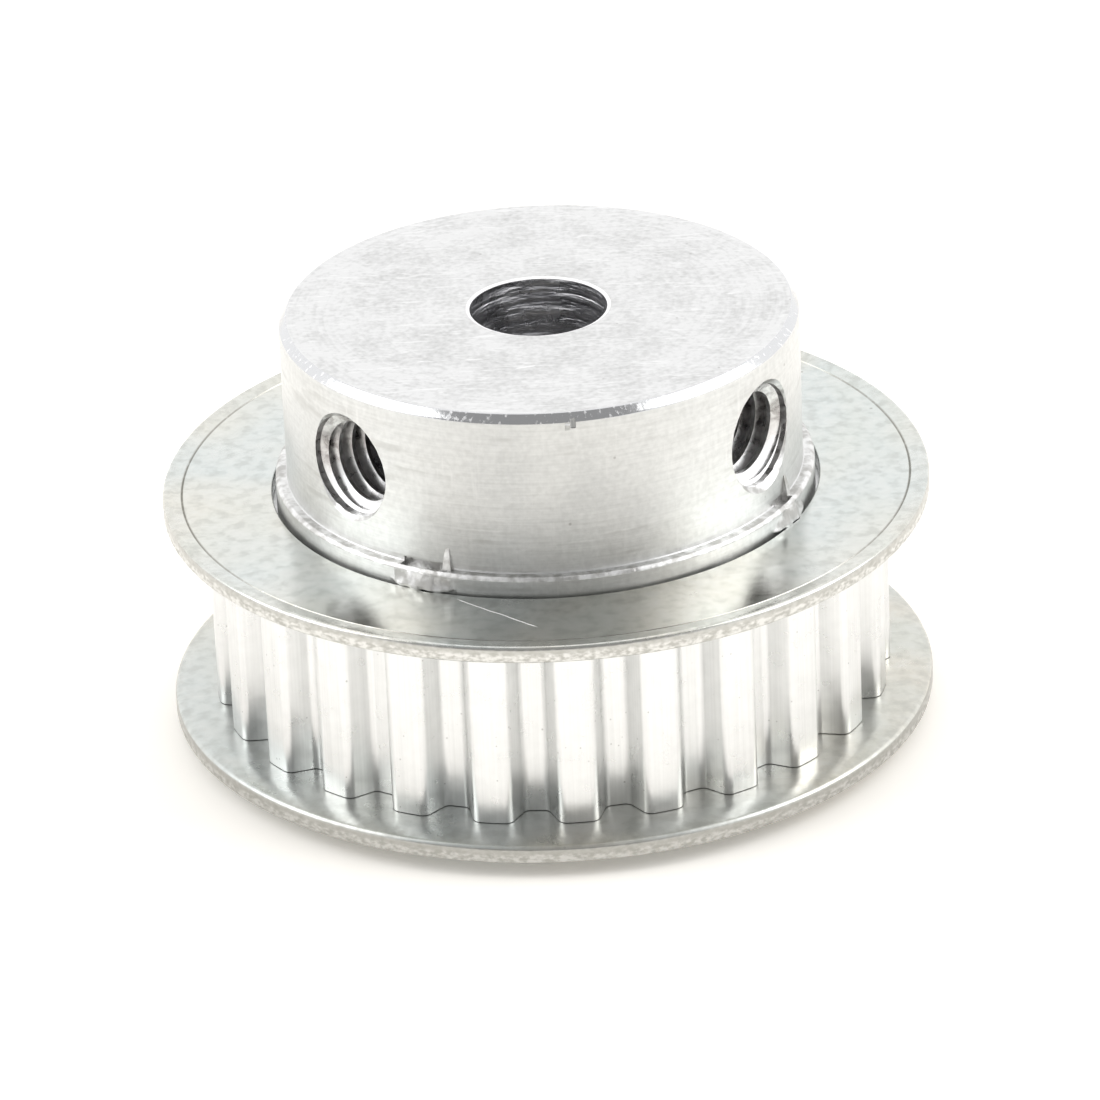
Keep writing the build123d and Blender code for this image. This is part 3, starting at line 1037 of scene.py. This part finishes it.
def sheared_rim(name, upper_edge, painted_shade_and_dullness):
    """The punched edge: a dull smooth band over a bright torn one, with a ragged border."""
    finish = Finish(name)
    tears = finish.cloud(finish.stretched(2600, 2600, 4600), detail=5)
    border = finish.cloud(finish.stretched(2400, 2400, 900), detail=4)
    ragged = finish.plus(finish.height(), finish.level(border, 0.3, 0.7, -0.1 * MM, 0.1 * MM))
    middle = upper_edge - 0.5 * FLANGE_THICK
    smooth_band = finish.level(ragged, middle - 0.06 * MM, middle + 0.1 * MM)
    torn = finish.mixed(finish.level(tears, 0.38, 0.6), (0.47, 0.465, 0.435), (0.74, 0.735, 0.71))
    streaked = finish.mixed(finish.level(tears, 0.3, 0.7), (0.43, 0.425, 0.395), (0.56, 0.555, 0.53))
    # Painted shade: the back flange's rim is darkened by this share.
    colour = finish.mixed(painted_shade_and_dullness, finish.mixed(smooth_band, torn, streaked), (0.26, 0.255, 0.235))
    roughness = finish.level(smooth_band, 0.0, 1.0, 0.44, 0.30)
    return finish.done(colour, roughness, tears, 1.2e-5)


# %% [markdown]
# ## Black oxide steel
# The set screws are hardened steel, blackened. The oxide is thin, so thread crests and the socket's edge
# rub back to grey metal.

# %% Screw finishes
def screw_black_oxide():
    """Blackened steel with an oily, uneven film."""
    finish = Finish("screw_black_oxide")
    film = finish.cloud(finish.place, per_metre=900, detail=4)
    colour = finish.mixed(finish.level(film, 0.35, 0.65), (0.045, 0.045, 0.05), (0.10, 0.10, 0.11))
    roughness = finish.level(film, 0.3, 0.7, 0.26, 0.44)
    return finish.done(colour, roughness, film, 6e-6)


def screw_worn_crest():
    """Crests and edges rubbed back to the steel."""
    finish = Finish("screw_worn_crest")
    film = finish.cloud(finish.place, per_metre=1500, detail=4)
    colour = finish.mixed(finish.level(film, 0.42, 0.6), (0.10, 0.10, 0.11), (0.36, 0.36, 0.37))
    roughness = finish.level(film, 0.3, 0.7, 0.24, 0.4)
    return finish.done(colour, roughness, film, 6e-6)


# %% [markdown]
# ## Finishes to faces
# One mesh carries several finishes, because one body was turned, milled, bored and tapped. Each face gets
# its finish from where it lies and which way it looks, by the same rules that a machinist would name it with.

# %% Lay the finishes on the body
NEAR = 0.02 * MM
SLOT_SPREAD = 0.58


def hole_distance(centre):
    """How far a point is from the nearer tapped hole's axis."""
    distances = []
    for angle, _ in HOLES:
        axis = around(angle) @ Vector((0, -1, 0))
        offset = centre - Vector((0, 0, HOLE_HEIGHT))
        if offset.dot(axis) > 0:
            distances.append((offset - axis * offset.dot(axis)).length)
    return min(distances, default=1.0)


def near_stake(centre, radius):
    """True at a stake's lobe, slot or sliver, at either end of the drum."""
    height = abs(centre.z - MIDDLE) + MIDDLE
    if not SEAT_TOP < height < REGISTER_TOP + 1.4 * MM:
        return False
    if radius > R_REGISTER + NEAR:
        return True
    turn_here = math.degrees(math.atan2(centre.x, -centre.y))
    slots = (abs((turn_here - angle + 180) % 360 - 180) < math.degrees(SLOT_SPREAD * width / R_REGISTER)
             for angle, width in STAKES)
    return any(slots) and radius > R_HUB - 0.16 * MM


def body_region(centre, normal):
    """The finish of a face of the body."""
    radius = math.hypot(centre.x, centre.y)
    if radius < R_BORE + 0.1 * MM and 0.1 * MM < centre.z < TOP - 0.1 * MM:
        return "bored"
    from_hole = hole_distance(centre)
    if from_hole < THREAD_RADIUS + 0.7 * MM and radius < R_HUB - 0.015 * MM:
        on_crest = from_hole < THREAD_MINOR + 0.03 * MM
        return "staked" if on_crest or from_hole > THREAD_RADIUS + NEAR else "tapped"
    if DRUM_LOW < centre.z < DRUM_HIGH and radius > R_REGISTER:
        return "milled"
    on_wall = abs(radius - R_HUB) < NEAR and abs(normal.z) < 0.1 and centre.z > REGISTER_TOP
    if near_stake(centre, radius) and not on_wall and centre.z < TOP - NOSE_CHAMFER:
        return "staked"
    if REGISTER_TOP - 0.22 * MM < centre.z < REGISTER_TOP + 0.05 * MM and radius > R_HUB + 0.08 * MM:
        return "staked"
    if centre.z > TOP - NOSE_CHAMFER - NEAR and 0.2 < normal.z < 0.97:
        return "chamfered"
    return "faced" if abs(normal.z) > 0.7 else "turned"


finishes = {
    "faced": faced_aluminium(),
    "turned": turned_aluminium(),
    "chamfered": chamfered_aluminium(),
    "milled": milled_aluminium(),
    "bored": bored_aluminium(),
    "tapped": tapped_aluminium(),
    "staked": staked_aluminium(),
}
for finish in finishes.values():
    body.data.materials.append(finish)
region_names = list(finishes)
counts = dict.fromkeys(region_names, 0)
for face in body.data.polygons:
    region = body_region(face.center, face.normal)
    face.material_index = region_names.index(region)
    counts[region] += 1
print("faces by finish", counts)

# %% [markdown]
# The flanges and screws take two finishes each in the same way.

# %% Lay the finishes on the flanges and screws
# The back flange's plate and rim are darker copies of the nose flange's: painted shade.
nose_plate = flange_zinc_plate("nose_flange_zinc_plate", 0.0)
back_plate = flange_zinc_plate("back_flange_zinc_plate", 0.22)
nose_rim = sheared_rim("nose_flange_rim", DRUM_HIGH + RIM_RISE + FLANGE_THICK, 0.0)
back_rim = sheared_rim("back_flange_rim", DRUM_LOW - RIM_RISE, 0.3)
for disc, plate, rim in ((nose_flange, nose_plate, nose_rim), (back_flange, back_plate, back_rim)):
    disc.data.materials.append(plate)
    disc.data.materials.append(rim)
    for face in disc.data.polygons:
        outermost = math.hypot(face.center.x, face.center.y) > R_FLANGE - 0.1 * MM
        face.material_index = 1 if outermost and abs(face.normal.z) < 0.5 else 0
print("rim faces:", sum(face.material_index for face in nose_flange.data.polygons))

oxide, crest = screw_black_oxide(), screw_worn_crest()
for screw in screws:
    screw.data.materials.append(oxide)
    screw.data.materials.append(crest)
    for face in screw.data.polygons:
        face.material_index = 1 if hole_distance(face.center) > SCREW_OUTER - 0.06 * MM else 0

# %% [markdown]
# ## Shading, floor and bodies
# The meshes are smooth but for edges sharper than 30 degrees. Weighting the normals by face area keeps the
# tooth lands and flanks flat, so that only their rounded corners bend a reflection. The floor is a plain pale
# sheet, lit a little from below like a light table. It is a stage and not part of the pulley. Each piece
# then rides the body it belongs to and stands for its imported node.

# %% Shade, add the floor and attach the pieces
SMOOTH_ANGLE = math.radians(30)
FACE_WEIGHT = 90
FLOOR_HALF_WIDTH = 3.0
FLOOR_GLOW = 0.165

for piece in (body, nose_flange, back_flange, *screws):
    piece.data.polygons.foreach_set("use_smooth", [True] * len(piece.data.polygons))
    piece.data.set_sharp_from_angle(angle=SMOOTH_ANGLE)
    weighting = piece.modifiers.new("flat_faces", "WEIGHTED_NORMAL")
    weighting.weight = FACE_WEIGHT
    weighting.keep_sharp = True
    piece.data = applied(piece)

bm = bmesh.new()
bmesh.ops.create_grid(bm, x_segments=1, y_segments=1, size=FLOOR_HALF_WIDTH)
floor = finished(bm, "tent_floor")
paper = Finish("floor_paper", metallic=0.0)
paper.shader.inputs["Emission Color"].default_value = (1.0, 0.965, 0.91, 1.0)
paper.shader.inputs["Emission Strength"].default_value = FLOOR_GLOW
fibres = paper.cloud(paper.place, per_metre=900, detail=3)
tint = paper.mixed(fibres, (0.96, 0.935, 0.895), (0.975, 0.95, 0.91))
floor.data.materials.append(paper.done(tint, 0.9, fibres, 1e-6))

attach(body, "pulley")
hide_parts("pulley_body")
for disc, node_name in ((nose_flange, "hub_side_flange"), (back_flange, "back_flange")):
    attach(disc, "pulley")
    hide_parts(node_name)
for number, screw in enumerate(screws, start=1):
    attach(screw, f"screw_{number}")
    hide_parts(f"set_screw_{number}")
